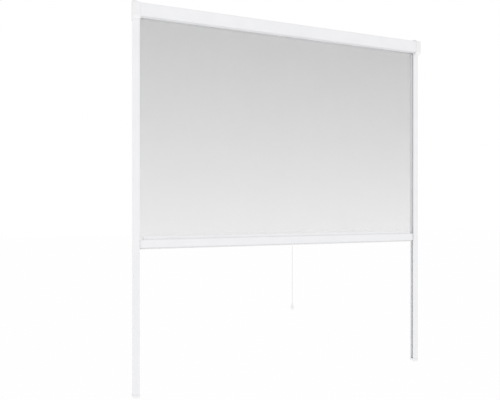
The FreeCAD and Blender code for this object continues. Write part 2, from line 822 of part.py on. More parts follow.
# Brush of the pull bar
strip = new_body("bar_brush")
drawing = new_sketch(strip, "bar_brush_section", "YZ_Plane")
base = named("brush_base_width") / 2
pile = named("brush_pile_width") / 2
step = slot_web - named("brush_base_height")
tip = bar_floor - named("bar_brush_drop")
corners = [
    (bar_middle - base, slot_web),
    (bar_middle + base, slot_web),
    (bar_middle + base, step),
    (bar_middle + pile, step),
    (bar_middle + pile, tip),
    (bar_middle - pile, tip),
    (bar_middle - pile, step),
    (bar_middle - base, step),
]
draw_loop(drawing, corners)
strip_end = slider_outer - named("brush_end_gap")
extrude(strip, drawing, strip_end * 2, "bar_brush_length")
place(strip, -strip_end)
keep("bar_brush", strip)

# Sliders: an end block on the bar with the bar's brush slot, a tongue between the brushes, a foot inside the rail
end_block = block("slider_end", (-slider_outer, -slider_inner), (bar_front, bar_back), (bar_floor, bar_step))
ends = [("x", [(bar_front, bar_step), (bar_front, bar_floor), (bar_back, bar_floor), (bar_back, bar_step)])]
end_block = rounded("slider_end_rounded", end_block, ends, named("bar_round"))
past_block = (-slider_outer - overlap, overlap - slider_inner)
slot_room_y = (bar_middle - slot_half, bar_middle + slot_half)
slot_room = block("slider_slot", past_block, slot_room_y, (bar_floor + bw, slot_web))
slot_mouth_y = (bar_middle - mouth_half, bar_middle + mouth_half)
slot_mouth = block("slider_slot_mouth", past_block, slot_mouth_y, (bar_floor - overlap, slot_web))
end_block = carved("slider_end_slotted", end_block, [slot_room, slot_mouth])
spigot_x = (-slider_inner - overlap, named("slider_spigot") - slider_inner)
spigot_y = (bar_front + bw + fit, bar_back - bw - fit)
spigot_z = (slot_back + fit, bar_step - bw - fit)
spigot = block("slider_spigot", spigot_x, spigot_y, spigot_z)
spigot_wall = named("spigot_wall")
bore_y = (spigot_y[0] + spigot_wall, spigot_y[1] - spigot_wall)
bore_z = (spigot_z[0] + spigot_wall, spigot_z[1] - spigot_wall)
bore_x = (-slider_inner, named("slider_spigot") + overlap - slider_inner)
spigot = carved("slider_spigot_hollow", spigot, [block("slider_spigot_bore", bore_x, bore_y, bore_z)])
tongue_y = (mesh_y - named("tongue_thickness") / 2, mesh_y + named("tongue_thickness") / 2)
foot_back = rib_in - named("slider_foot_inset")
foot_start = foot_back - named("slider_foot_width")
tongue_x = (foot_back - rail_outer - overlap, overlap - slider_outer)
tongue_z = (bar_floor + named("tongue_lift"), bar_step - overlap)
tongue = block("slider_tongue", tongue_x, tongue_y, tongue_z)
foot_range_y = (named("slider_foot_play") - far_web, -web_front - named("slider_foot_play"))
foot_range_x = (foot_start - rail_outer, foot_back - rail_outer)
guide = block("slider_foot", foot_range_x, foot_range_y, tongue_z)
spots = [(foot_range_x[0], foot_range_y[0]), (foot_range_x[0], foot_range_y[1])]
guide = rounded("slider_foot_rounded", guide, [("z", spots)], named("slider_foot_round"))
slider = joined("left_slider", [end_block, spigot, tongue, guide])
keep("left_slider", slider)
keep("right_slider", mirrored("right_slider", slider))

# Pull cord: an eyelet under the bar, a straight cord and a drop-shaped knob
cord_x = named("cord_x")
eyelet_back = bar_middle - pile - named("eyelet_stand")
cord_y = eyelet_back - named("eyelet_depth") / 2
eyelet_low = bar_floor - named("eyelet_height")
eyelet_x = (cord_x - named("eyelet_width") / 2, cord_x + named("eyelet_width") / 2)
eyelet_y = (eyelet_back - named("eyelet_depth"), eyelet_back)
eyelet = block("eyelet_block", eyelet_x, eyelet_y, (eyelet_low, bar_floor))
eyelet_corners = [(eyelet_x[0], eyelet_low), (eyelet_x[1], eyelet_low)]
eyelet = rounded("eyelet_rounded", eyelet, [("y", eyelet_corners)], named("eyelet_round"))
bore_radius = named("cord_radius") + named("cord_play")
bore_low = eyelet_low - overlap
bore_height = bar_floor - named("eyelet_roof") - bore_low
eyelet_bore = rod("eyelet_bore", "z", bore_radius, bore_low, bore_height, cord_x, cord_y)
keep("cord_eyelet", carved("cord_eyelet", eyelet, [eyelet_bore]))

knob_top = tip - named("cord_length")
cord_start = bar_floor - named("cord_head_gap")
cord_end = knob_top - named("cord_in_knob")
keep("pull_cord", rod("pull_cord", "z", named("cord_radius"), cord_end, cord_start - cord_end, cord_x, cord_y))

# The knob is a ball whose sides run up to the neck along straight lines that touch the ball
knob = new_body("pull_knob")
drawing = new_sketch(knob, "knob_outline", "XZ_Plane")
ball = named("knob_radius").value
tall = named("knob_height").value
bore_r = (named("cord_radius") + named("knob_bore_play")).value
deep = named("knob_bore_depth").value
neck = Vector(named("knob_neck_radius").value, 0, 0)
centre = Vector(0, ball - tall, 0)
away = neck - centre
far = away.Length
toward = away / far
across = Vector(toward.y, -toward.x, 0)
touch = centre + toward * (ball * ball / far) + across * (ball * (1 - (ball / far) ** 2) ** 0.5)
foot_point = Vector(0, -tall, 0)
cheek = centre + (touch + foot_point - centre * 2).normalize() * ball
outline = [
    Part.LineSegment(Vector(bore_r, 0, 0), neck),
    Part.LineSegment(neck, touch),
    Part.Arc(touch, cheek, foot_point),
    Part.LineSegment(foot_point, Vector(0, -deep, 0)),
    Part.LineSegment(Vector(0, -deep, 0), Vector(bore_r, -deep, 0)),
    Part.LineSegment(Vector(bore_r, -deep, 0), Vector(bore_r, 0, 0)),
]
for piece in outline:
    drawing.addGeometry(piece, False)
turn = knob.newObject("PartDesign::Revolution", "knob_turn")
turn.Profile = drawing
turn.ReferenceAxis = (drawing, ["V_Axis"])
turn.Angle = 360
place(knob, cord_x, cord_y, knob_top)
keep("pull_knob", knob)

# Wall clips: flat plates that sit behind the lips of the rail channel, each with a countersunk hole
clip_half = named("clip_height") / 2
clip_in = lips_reach + named("clip_play")
flange_in = wall + named("clip_play")
screw_z = [bottom + named("screw_inset"), ZERO, cassette_floor - named("screw_inset")]
clips = []
for sign in (-1, 1):
    middle = (rail_outer - width / 2) * sign
    for number, level in enumerate(screw_z):
        tag = f"clip_{'left' if sign < 0 else 'right'}_{number}"
        stem_half = width / 2 - clip_in
        wing_half = width / 2 - flange_in
        z = (level - clip_half, level + clip_half)
        stem_y = (-named("channel_lip") - named("clip_root"), ZERO)
        stem = block(tag + "_stem", (middle - stem_half, middle + stem_half), stem_y, z)
        wings_y = (-named("clip_thickness"), -named("channel_lip"))
        wings = block(tag + "_wings", (middle - wing_half, middle + wing_half), wings_y, z)
        hole_front = -named("clip_thickness") - overlap
        hole_length = named("clip_thickness") + overlap * 2
        hole = rod(tag + "_hole", "y", named("screw_hole") / 2, hole_front, hole_length, middle, level)
        sink = doc.addObject("Part::Cone", tag + "_sink")
        bind(sink, "Radius1", named("screw_head") / 2)
        bind(sink, "Radius2", named("screw_hole") / 2)
        bind(sink, "Height", (named("screw_head") - named("screw_hole")) / 2)
        sink.Placement.Rotation = Rotation(Vector(1, 0, 0), -90)
        place(sink, middle, -named("clip_thickness"), level)
        plate = joined(tag + "_plate", [stem, wings])
        clips.append(carved(tag, plate, [hole, sink]))
group = doc.addObject("Part::Compound", "wall_clips")
group.Links = clips
keep("wall_clips", group)

# Build, check and write one file per piece
doc.recompute()
wrong = [thing.Name for thing in doc.Objects if "Invalid" in thing.State or "Error" in thing.State]
if wrong:
    raise SystemExit("not built: " + ", ".join(wrong))
os.makedirs("parts", exist_ok=True)
for name, thing in nodes.items():
    shape = thing.Shape
    if not shape.isValid() or not shape.Solids:
        raise SystemExit(name + " is not a valid solid")
    shape.exportStep(os.path.join("parts", name + ".step"))
    box = shape.BoundBox
    low = f"{box.XMin:.1f} {box.YMin:.1f} {box.ZMin:.1f}"
    high = f"{box.XMax:.1f} {box.YMax:.1f} {box.ZMax:.1f}"
    print(name, len(shape.Solids), "from", low, "to", high)
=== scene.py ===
# %% [markdown]
# A roller insect screen. A white cassette on top winds up a fine grey mesh. Two guide rails stand below it, a pull
# bar slides between them, and a thin cord with a drop-shaped knob hangs from the bar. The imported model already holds
# every rigid piece at its true place, so this lesson dresses it. It gives the metal and the mouldings their finish,
# and makes the soft pieces anew: the mesh, the wound mesh, the brush seals and the cord.

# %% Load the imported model
import math
import random

import bmesh
import bpy
from mathutils import Matrix, Vector


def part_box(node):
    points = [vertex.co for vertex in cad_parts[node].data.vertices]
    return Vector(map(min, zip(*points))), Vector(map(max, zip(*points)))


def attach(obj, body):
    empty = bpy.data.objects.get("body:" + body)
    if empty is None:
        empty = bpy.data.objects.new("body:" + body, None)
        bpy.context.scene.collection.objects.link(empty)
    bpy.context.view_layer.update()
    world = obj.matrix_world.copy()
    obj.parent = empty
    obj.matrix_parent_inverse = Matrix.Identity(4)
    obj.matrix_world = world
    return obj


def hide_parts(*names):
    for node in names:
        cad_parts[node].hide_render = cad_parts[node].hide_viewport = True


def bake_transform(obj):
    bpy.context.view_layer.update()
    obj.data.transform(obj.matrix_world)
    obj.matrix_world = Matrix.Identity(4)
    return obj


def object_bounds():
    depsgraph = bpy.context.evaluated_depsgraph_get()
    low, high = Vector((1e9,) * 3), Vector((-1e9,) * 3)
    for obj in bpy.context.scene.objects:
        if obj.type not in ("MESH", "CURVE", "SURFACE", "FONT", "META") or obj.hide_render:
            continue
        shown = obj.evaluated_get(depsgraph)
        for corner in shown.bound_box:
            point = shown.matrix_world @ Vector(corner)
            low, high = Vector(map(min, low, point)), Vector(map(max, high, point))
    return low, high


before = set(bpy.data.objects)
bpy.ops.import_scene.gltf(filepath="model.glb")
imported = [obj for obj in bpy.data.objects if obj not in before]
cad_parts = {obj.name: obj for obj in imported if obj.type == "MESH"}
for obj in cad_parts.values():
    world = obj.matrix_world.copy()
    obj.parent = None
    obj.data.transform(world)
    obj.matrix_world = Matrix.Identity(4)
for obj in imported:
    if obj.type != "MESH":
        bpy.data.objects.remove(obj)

MM = 0.001
cad_low, cad_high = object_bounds()
print("pieces in the frame:", len(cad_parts))
print("width, depth, height:", [round(high - low, 4) for low, high in zip(cad_low, cad_high)])

# %% [markdown]
# The camera stands left of the screen and level with its middle. It was solved from two facts in the picture: the
# rails stay upright, so the camera is level, and the cassette and the bar run to one vanishing point far to the
# right. A focal length in pixels turns into a lens once it is measured against a 36 mm sensor.

# %% Camera
PICTURE_WIDTH = 500
FOCAL_PIXELS = 576.6
SENSOR_WIDTH = 36.0
HORIZON_BELOW_CENTRE = 6.0
TURN_RIGHT = 23.44
CAMERA_PLACE = (-1.0942, -2.1262, 0.007)

eye = bpy.data.cameras.new("picture_camera")
eye.sensor_width = SENSOR_WIDTH
eye.lens = FOCAL_PIXELS / PICTURE_WIDTH * SENSOR_WIDTH
eye.shift_y = HORIZON_BELOW_CENTRE / PICTURE_WIDTH
camera = bpy.data.objects.new("picture_camera", eye)
camera.location = CAMERA_PLACE
camera.rotation_euler = (math.radians(90), 0, math.radians(-TURN_RIGHT))
bpy.context.scene.collection.objects.link(camera)
bpy.context.scene.camera = camera
print("lens in mm:", round(eye.lens, 2))

# %% [markdown]
# A white product in front of white needs even light, or its edges vanish or its faces clip. Several softboxes could
# give it, but a bright sky of one colour is simpler and lights every side alike. Rays that the camera sends straight
# into the sky see pure white, and so do mirrored rays and those that pass through something clear.

# %% Sky
SKY_STRENGTH = 0.83
WHITE = (1, 1, 1, 1)


def seen_straight(tree):
    """Is 1 for a ray from the camera, a mirrored one or one that passes through, and 0 for light that spreads."""
    path = tree.nodes.new("ShaderNodeLightPath")
    seen = path.outputs["Is Camera Ray"]
    for kind in ("Is Glossy Ray", "Is Transmission Ray"):
        either = tree.nodes.new("ShaderNodeMath")
        either.operation = "MAXIMUM"
        tree.links.new(seen, either.inputs[0])
        tree.links.new(path.outputs[kind], either.inputs[1])
        seen = either.outputs[0]
    return seen


scene = bpy.context.scene
scene.view_settings.view_transform = "Standard"
sky = bpy.data.worlds.new("studio_sky")
scene.world = sky
sky.use_nodes = True
sky_nodes = sky.node_tree.nodes
sky_links = sky.node_tree.links
light_sky = sky_nodes["Background"]
light_sky.inputs["Color"].default_value = WHITE
light_sky.inputs["Strength"].default_value = SKY_STRENGTH
seen_sky = sky_nodes.new("ShaderNodeBackground")
seen_sky.inputs["Color"].default_value = WHITE
seen_sky.inputs["Strength"].default_value = 1
sky_mix = sky_nodes.new("ShaderNodeMixShader")
sky_links.new(seen_straight(sky.node_tree), sky_mix.inputs["Fac"])
sky_links.new(light_sky.outputs[0], sky_mix.inputs[1])
sky_links.new(seen_sky.outputs[0], sky_mix.inputs[2])
sky_links.new(sky_mix.outputs[0], sky_nodes["World Output"].inputs["Surface"])
print("sky strength:", SKY_STRENGTH)

# %% [markdown]
# Under a plain sky alone a white edge hardly shows. One wide lamp in front, a little to the left, gives the front
# faces a little more light than the others. It is three metres wide, so its shadows stay soft.

# %% Key lamp
KEY_POWER = 34
KEY_PLACE = (-3.6, -6.0, 1.4)
KEY_WIDTH = 3.0

key = bpy.data.lights.new("key_lamp", "AREA")
key.energy = KEY_POWER
key.size = KEY_WIDTH
key_lamp = bpy.data.objects.new("key_lamp", key)
key_lamp.location = KEY_PLACE
key_lamp.rotation_euler = (-Vector(KEY_PLACE)).to_track_quat("-Z", "Y").to_euler()
key_lamp.visible_camera = False
scene.collection.objects.link(key_lamp)
print("key lamp in watts:", KEY_POWER)

# %% [markdown]
# Such a screen hangs with its feet about 0.9 m above the floor, so the floor lies that far under them. It is one wide
# face, made by an operator and moved into its place as a mesh. It belongs to the stage and not to the screen.

# %% Floor
FEET_ABOVE_FLOOR = 0.9
FLOOR_HALF = 30.0

floor_level = cad_low[2] - FEET_ABOVE_FLOOR
floor_mesh = bpy.data.meshes.new("floor")
bm = bmesh.new()
bmesh.ops.create_grid(bm, x_segments=1, y_segments=1, size=FLOOR_HALF)
bmesh.ops.translate(bm, verts=bm.verts, vec=(0, 0, floor_level))
bm.to_mesh(floor_mesh)
bm.free()
floor = bpy.data.objects.new("floor", floor_mesh)
scene.collection.objects.link(floor)
print("floor level:", round(floor_level, 3))

# %% [markdown]
# A studio floor is a lit sweep of white paper. Most of it glows by itself here, and the rest takes light and shadow.
# For the camera it glows just enough to join the white background. For light that bounces up it glows a little more,
# which keeps the undersides as bright as the picture shows them.

# %% Floor finish
FLOOR_WHITE = (0.93, 0.93, 0.93)
FLOOR_ROUGHNESS = 0.9
FLOOR_GLOW_SHARE = 0.9
FLOOR_GLOW_SEEN = 1.015
FLOOR_GLOW_BOUNCED = 1.13

floor_finish = bpy.data.materials.new("pale_floor")
floor_finish.use_nodes = True
floor_nodes = floor_finish.node_tree.nodes
floor_links = floor_finish.node_tree.links
matt = floor_nodes["Principled BSDF"]
matt.inputs["Base Color"].default_value = (*FLOOR_WHITE, 1)
matt.inputs["Roughness"].default_value = FLOOR_ROUGHNESS
glow = floor_nodes.new("ShaderNodeEmission")
glow_strength = floor_nodes.new("ShaderNodeMapRange")
glow_strength.inputs["To Min"].default_value = FLOOR_GLOW_BOUNCED
glow_strength.inputs["To Max"].default_value = FLOOR_GLOW_SEEN
floor_links.new(seen_straight(floor_finish.node_tree), glow_strength.inputs["Value"])
floor_links.new(glow_strength.outputs[0], glow.inputs["Strength"])
floor_mix = floor_nodes.new("ShaderNodeMixShader")
floor_mix.inputs["Fac"].default_value = FLOOR_GLOW_SHARE
floor_links.new(matt.outputs[0], floor_mix.inputs[1])
floor_links.new(glow.outputs[0], floor_mix.inputs[2])
floor_links.new(floor_mix.outputs[0], floor_nodes["Material Output"].inputs["Surface"])
floor_mesh.materials.append(floor_finish)
print("floor glow, seen and bounced:", FLOOR_GLOW_SEEN, FLOOR_GLOW_BOUNCED)


# %% [markdown]
# Every finish below is built from the same few moves: read the place on the piece, make a fine noise there, squeeze
# it between two values, and feed it to the colour, the roughness or the bump. These helpers hold those moves, so a
# finish reads as a short recipe.

# %% Helpers for finishes
def new_finish(name):
    """Starts a material and hands back its nodes, its links and its main shader."""
    finish = bpy.data.materials.new(name)
    finish.use_nodes = True
    tree = finish.node_tree
    return finish, tree, tree.nodes["Principled BSDF"]


def node_in(tree, kind, **settings):
    node = tree.nodes.new(kind)
    for key_name, value in settings.items():
        setattr(node, key_name, value)
    return node


def place_on(tree, stretch=(1, 1, 1), shift=(0, 0, 0)):
    """The place on the piece, in metres, with each axis stretched for patterns that run along it."""
    coordinate = node_in(tree, "ShaderNodeTexCoord")
    mapping = node_in(tree, "ShaderNodeMapping")
    mapping.inputs["Location"].default_value = shift
    mapping.inputs["Scale"].default_value = stretch
    tree.links.new(coordinate.outputs["Object"], mapping.inputs["Vector"])
    return mapping.outputs["Vector"]


def grain(tree, place, scale, detail=2.0):
    """Noise with about this many bumps a metre."""
    texture = node_in(tree, "ShaderNodeTexNoise")
    texture.inputs["Scale"].default_value = scale
    texture.inputs["Detail"].default_value = detail
    tree.links.new(place, texture.inputs["Vector"])
    return texture.outputs["Fac"]


def between(tree, value, low, high, start=0.3, end=0.7):
    """Squeezes a noise into a range."""
    squeeze = node_in(tree, "ShaderNodeMapRange")
    squeeze.inputs["From Min"].default_value = start
    squeeze.inputs["From Max"].default_value = end
    squeeze.inputs["To Min"].default_value = low
    squeeze.inputs["To Max"].default_value = high
    tree.links.new(value, squeeze.inputs["Value"])
    return squeeze.outputs["Result"]


def two_tones(tree, value, dark, light):
    """Mixes two close colours by a noise."""
    mix = node_in(tree, "ShaderNodeMix", data_type="RGBA")
    mix.inputs["A"].default_value = (*dark, 1)
    mix.inputs["B"].default_value = (*light, 1)
    tree.links.new(between(tree, value, 0, 1), mix.inputs["Factor"])
    return mix.outputs["Result"]


def raise_by(tree, value, depth, strength=1.0):
    """A bump of this real depth in metres."""
    bump = node_in(tree, "ShaderNodeBump")
    bump.inputs["Strength"].default_value = strength
    bump.inputs["Distance"].default_value = depth
    tree.links.new(value, bump.inputs["Height"])
    return bump.outputs["Normal"]


def calculate(tree, operation, a, b=None, c=None):
    """One step of arithmetic between outputs or numbers."""
    step = node_in(tree, "ShaderNodeMath", operation=operation)
    for number, value in enumerate((a, b, c)):
        if value is None:
            continue
        if isinstance(value, (int, float)):
            step.inputs[number].default_value = value
        else:
            tree.links.new(value, step.inputs[number])
    return step.outputs[0]


def dress(node, finish):
    """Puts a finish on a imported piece."""
    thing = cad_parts[node]
    thing.data.materials.clear()
    thing.data.materials.append(finish)


def new_piece(name, bm, finish, smooth=False):
    """Turns a bmesh into an object with a finish."""
    mesh = bpy.data.meshes.new(name)
    bm.to_mesh(mesh)
    bm.free()
    mesh.materials.append(finish)
    if smooth:
        mesh.shade_smooth()
    piece = bpy.data.objects.new(name, mesh)
    scene.collection.objects.link(piece)
    return piece


print("helpers ready")


# %% [markdown]
# The cassette, the rails and the bar are extruded aluminium under a baked powder coat. A powder coat is an even,
# satin white with a very fine orange peel, and the extruding die leaves faint lines along the profile, which show
# only in the sheen. The lines are a noise that is squeezed across the profile and drawn out along it.

# %% Powder coat
COAT_DARK = (0.845, 0.847, 0.868)
COAT_LIGHT = (0.868, 0.869, 0.884)
COAT_CLOUDS = 14
COAT_ROUGHNESS = (0.32, 0.44)
PEEL_SCALE = 900
PEEL_DEPTH = 0.03 * MM
DIE_LINE_SCALE = 700
DIE_LINE_SHARE = 0.4
ALONG_SCALE = 6


def powder_coat(name, along):
    """White powder coat on a profile that was extruded along one axis."""
    finish, tree, shader = new_finish(name)
    cloud = grain(tree, place_on(tree), COAT_CLOUDS, 3)
    tree.links.new(two_tones(tree, cloud, COAT_DARK, COAT_LIGHT), shader.inputs["Base Color"])
    stretch = [DIE_LINE_SCALE] * 3
    stretch["XYZ".index(along)] = ALONG_SCALE
    lines = grain(tree, place_on(tree, stretch), 1.0, 1)
    tree.links.new(between(tree, lines, *COAT_ROUGHNESS), shader.inputs["Roughness"])
    peel = grain(tree, place_on(tree), PEEL_SCALE)
    height = calculate(tree, "ADD", peel, calculate(tree, "MULTIPLY", lines, DIE_LINE_SHARE))
    tree.links.new(raise_by(tree, height, PEEL_DEPTH), shader.inputs["Normal"])
    shader.inputs["Coat Weight"].default_value = 0.1
    shader.inputs["Coat Roughness"].default_value = 0.25
    return finish


coat_across = powder_coat("powder_coat_across", "X")
coat_upright = powder_coat("powder_coat_upright", "Z")
for node in ("cassette_profile", "bar_profile"):
    dress(node, coat_across)
for node in ("left_rail", "right_rail"):
    dress(node, coat_upright)
print("powder coat on 4 profiles")


# %% [markdown]
# The end caps, the feet and the sliders are moulded. The mould is lightly spark-eroded, which leaves a grain of
# rounded pits much finer than a millimetre, and the plastic is a shade warmer than the coat beside it. A cellular
# noise makes pits of one size, which suits this grain better than a cloud noise.

# %% Moulded plastic
MOULD_CLOUDS = 25
MOULD_PITS = 1800
MOULD_PIT_DEPTH = 0.04 * MM
MOULD_WHITES = ((0.845, 0.846, 0.86), (0.868, 0.868, 0.877))
MOULD_BLACKS = ((0.03, 0.03, 0.032), (0.045, 0.045, 0.048))


def moulded_plastic(name, tones, roughness):
    """A satin moulding with a fine eroded grain."""
    finish, tree, shader = new_finish(name)
    cloud = grain(tree, place_on(tree), MOULD_CLOUDS, 2)
    tree.links.new(two_tones(tree, cloud, *tones), shader.inputs["Base Color"])
    tree.links.new(between(tree, cloud, roughness - 0.04, roughness + 0.05), shader.inputs["Roughness"])
    cells = node_in(tree, "ShaderNodeTexVoronoi", feature="SMOOTH_F1")
    cells.inputs["Scale"].default_value = MOULD_PITS
    tree.links.new(place_on(tree), cells.inputs["Vector"])
    tree.links.new(raise_by(tree, cells.outputs["Distance"], MOULD_PIT_DEPTH, 0.6), shader.inputs["Normal"])
    shader.inputs["IOR"].default_value = 1.46
    return finish


white_plastic = moulded_plastic("white_moulding", MOULD_WHITES, 0.42)
dark_plastic = moulded_plastic("dark_moulding", MOULD_BLACKS, 0.5)
WHITE_MOULDINGS = (
    "left_end_cap",
    "right_end_cap",
    "left_foot",
    "right_foot",
    "left_slider",
    "right_slider",
    "wall_clips",
    "cord_eyelet",
    "mesh_keder",
)
DARK_MOULDINGS = ("left_roller_plug", "right_roller_plug", "roller_bearing", "shaft_holder", "spring_anchor")
for node in WHITE_MOULDINGS:
    dress(node, white_plastic)
for node in DARK_MOULDINGS:
    dress(node, dark_plastic)
print("mouldings:", len(WHITE_MOULDINGS) + len(DARK_MOULDINGS))


# %% [markdown]
# The roller tube is bare drawn aluminium, and its spring and shaft are zinc-plated steel. Bare metal shows its
# making in the sheen alone: long fine lines on the drawn tube, and a soft mottle on the plating.

# %% Bare metal
ALUMINIUM_GREY = (0.78, 0.79, 0.8)
ZINC_GREY = (0.62, 0.63, 0.65)
DRAWN_LINES = (8, 1500, 1500)
PLATING_MOTTLE = (260, 260, 260)
METAL_RELIEF = 0.01 * MM


def bare_metal(name, colour, roughness, stretch):
    """Metal whose sheen follows the way it was worked."""
    finish, tree, shader = new_finish(name)
    shader.inputs["Metallic"].default_value = 1
    worked = grain(tree, place_on(tree, stretch), 1.0, 3)
    darker = [part * 0.86 for part in colour]
    tree.links.new(two_tones(tree, worked, darker, colour), shader.inputs["Base Color"])
    tree.links.new(between(tree, worked, roughness - 0.08, roughness + 0.1), shader.inputs["Roughness"])
    tree.links.new(raise_by(tree, worked, METAL_RELIEF), shader.inputs["Normal"])
    return finish


drawn_aluminium = bare_metal("drawn_aluminium", ALUMINIUM_GREY, 0.34, DRAWN_LINES)
plated_steel = bare_metal("plated_steel", ZINC_GREY, 0.3, PLATING_MOTTLE)
dress("roller_tube", drawn_aluminium)
for node in ("spring_shaft", "roller_spring"):
    dress(node, plated_steel)
print("bare metal on the tube, the shaft and the spring")

# %% [markdown]
# The mesh is woven from coated glass yarn, 16 to 18 yarns to the inch, and at arm's length it is a grey veil. One
# yarn is a quarter of a millimetre thick. Half a million real holes would be wasted here, so the sheet is one flat
# face, and its finish decides at each point whether there is yarn or a hole. Distance from the nearest yarn's
# middle is a sawtooth wave of the place, folded at its half. The yarns are drawn thicker towards the cassette and
# thin out a little on the way down: this is painted shade, which makes the veil darker near the top. A pale band is
# welded along each side; its pale colour also lightens the shade in the rails' grooves, and the right one is drawn
# wider, so it shows beside its rail as a painted highlight. In the shade of the cassette's mouth full yarns would
# draw a dark line that the picture doesn't have, so they are thinner there.

# %% Mesh finish
YARN_STEP_ACROSS = 1.41 * MM
YARN_STEP_UP = 1.59 * MM
# Painted shade: the yarns are thicker near the top, so the veil darkens towards the cassette.
YARN_HALF_TOP = 0.132
YARN_HALF_LOW = 0.055
YARN_EDGE = 0.02
DENSE_ABOVE = 0.66
LIGHT_BELOW = -0.08
YARN_HALF_MOUTH = 0.03
MOUTH_LEVEL = 0.6975
LEFT_BAND_FROM = -0.6245
# The right band starts further in than the left and shows beside its rail as a painted highlight.
RIGHT_BAND_AND_HIGHLIGHT_FROM = 0.6165
YARN_GREY = (0.075, 0.077, 0.08)
YARN_FUZZ = 900
YARN_RELIEF = 0.1 * MM
# The bands' pale colour is the selvedge's own and also lightens the shade in the rails' grooves.
BAND_WHITE = (0.8, 0.8, 0.81)


def yarn_cover(tree, position, step, half_width):
    """1 on a yarn and 0 in a hole, from one coordinate; half_width is a share of the step."""
    turns = calculate(tree, "DIVIDE", position, step)
    wave = calculate(tree, "PINGPONG", turns, 0.5)
    low_edge = calculate(tree, "SUBTRACT", half_width, YARN_EDGE)
    high_edge = calculate(tree, "ADD", half_width, YARN_EDGE)
    ramp = node_in(tree, "ShaderNodeMapRange", interpolation_type="SMOOTHSTEP")
    ramp.inputs["To Min"].default_value = 1
    ramp.inputs["To Max"].default_value = 0
    tree.links.new(wave, ramp.inputs["Value"])
    tree.links.new(low_edge, ramp.inputs["From Min"])
    tree.links.new(high_edge, ramp.inputs["From Max"])
    return ramp.outputs["Result"]


def woven_mesh(name):
    """Dark yarn with see-through holes, thicker near the top as painted shade, and a closed pale band along each side,
    the right one wider as a painted highlight.
    """
    finish, tree, shader = new_finish(name)
    split = node_in(tree, "ShaderNodeSeparateXYZ")
    tree.links.new(place_on(tree), split.inputs["Vector"])
    across, up = split.outputs["X"], split.outputs["Z"]
    # Painted shade: thicker yarns higher up make the veil darker towards the cassette.
    painted_shade_width = between(tree, up, YARN_HALF_LOW, YARN_HALF_TOP, LIGHT_BELOW, DENSE_ABOVE)
    in_mouth = calculate(tree, "GREATER_THAN", up, MOUTH_LEVEL)
    half_width = calculate(tree, "MULTIPLY_ADD", in_mouth, YARN_HALF_MOUTH - YARN_HALF_TOP, painted_shade_width)
    upright = yarn_cover(tree, across, YARN_STEP_ACROSS, half_width)
    level = yarn_cover(tree, up, YARN_STEP_UP, half_width)
    yarn = calculate(tree, "MAXIMUM", upright, level)
    left_band = calculate(tree, "LESS_THAN", across, LEFT_BAND_FROM)
    # Beside the right rail this band is a painted highlight.
    right_band_and_highlight = calculate(tree, "GREATER_THAN", across, RIGHT_BAND_AND_HIGHLIGHT_FROM)
    side = calculate(tree, "ADD", left_band, right_band_and_highlight)
    tree.links.new(calculate(tree, "MAXIMUM", yarn, side), shader.inputs["Alpha"])
    fuzz = grain(tree, place_on(tree), YARN_FUZZ, 2)
    darker = [part * 0.8 for part in YARN_GREY]
    lighter = [part * 1.25 for part in YARN_GREY]
    mix = node_in(tree, "ShaderNodeMix", data_type="RGBA")
    mix.inputs["B"].default_value = (*BAND_WHITE, 1)
    tree.links.new(two_tones(tree, fuzz, darker, lighter), mix.inputs["A"])
    tree.links.new(side, mix.inputs["Factor"])
    tree.links.new(mix.outputs["Result"], shader.inputs["Base Color"])
    shader.inputs["Roughness"].default_value = 0.6
    crossing = calculate(tree, "ADD", upright, level)
    tree.links.new(raise_by(tree, crossing, YARN_RELIEF, 0.5), shader.inputs["Normal"])
    return finish


mesh_finish = woven_mesh("woven_glass_yarn")
print("yarn steps in mm:", round(YARN_STEP_ACROSS / MM, 2), round(YARN_STEP_UP / MM, 2))

# %% [markdown]
# The roller's spring keeps the hung mesh taut, so it has no folds, and a cloth simulation would only find the flat
# sheet again. The large panel reaches from the roller's axis down to the strip that holds its lower edge in the bar.
# Beside the bar's profile two small corners go on down to the sliders, as on the real screen. Each rectangle has
# only its four corners as points. The weave reads the place and not a picture wrapped on the sheet.

# %% Mesh sheet
mesh_low, mesh_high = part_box("screen_mesh")
mesh_plane = (mesh_low[1] + mesh_high[1]) / 2
CORNER_GAP = 0.3 * MM


def hang_panel(bm, left, right, low, high):
    """Adds one upright rectangle in the plane of the mesh."""
    made = bmesh.ops.create_grid(bm, x_segments=1, y_segments=1, size=0.5)["verts"]
    bmesh.ops.scale(bm, verts=made, vec=(right - left, high - low, 1))
    bmesh.ops.rotate(bm, verts=made, matrix=Matrix.Rotation(math.radians(90), 3, "X"))
    bmesh.ops.translate(bm, verts=made, vec=((left + right) / 2, mesh_plane, (low + high) / 2))


corner_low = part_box("left_slider")[1][2] + CORNER_GAP
bar_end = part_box("bar_profile")[1][0] + CORNER_GAP
bm = bmesh.new()
hang_panel(bm, mesh_low[0], mesh_high[0], mesh_low[2], mesh_high[2])
hang_panel(bm, mesh_low[0], -bar_end, corner_low, mesh_low[2])
hang_panel(bm, bar_end, mesh_high[0], corner_low, mesh_low[2])
mesh_sheet = new_piece("mesh_sheet", bm, mesh_finish)
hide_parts("screen_mesh")
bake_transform(mesh_sheet)

# %% [markdown]
# The rest of the mesh is wound on the tube. Seen from its end a roll is a spiral. So one edge, which lies along the
# roller and is as long as the mesh is wide, is spun round the roller's axis, and steps outwards a little all the way.
# This leaves a sheet with several layers, and one extrusion would only give a plain sleeve.

# %% Wound mesh
roll_low, roll_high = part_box("mesh_roll")
tube_low, tube_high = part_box("roller_tube")
roll_axis = Vector((0, (roll_low[1] + roll_high[1]) / 2, (roll_low[2] + roll_high[2]) / 2))
roll_outer = (roll_high[2] - roll_low[2]) / 2
tube_outer = (tube_high[2] - tube_low[2]) / 2
LAYER_STEP = 0.3 * MM
STEPS_A_TURN = 40
WOUND_GREYS = ((0.05, 0.05, 0.052), (0.12, 0.122, 0.125))
WOUND_RELIEF = 0.15 * MM
layers = int((roll_outer - tube_outer) / LAYER_STEP)


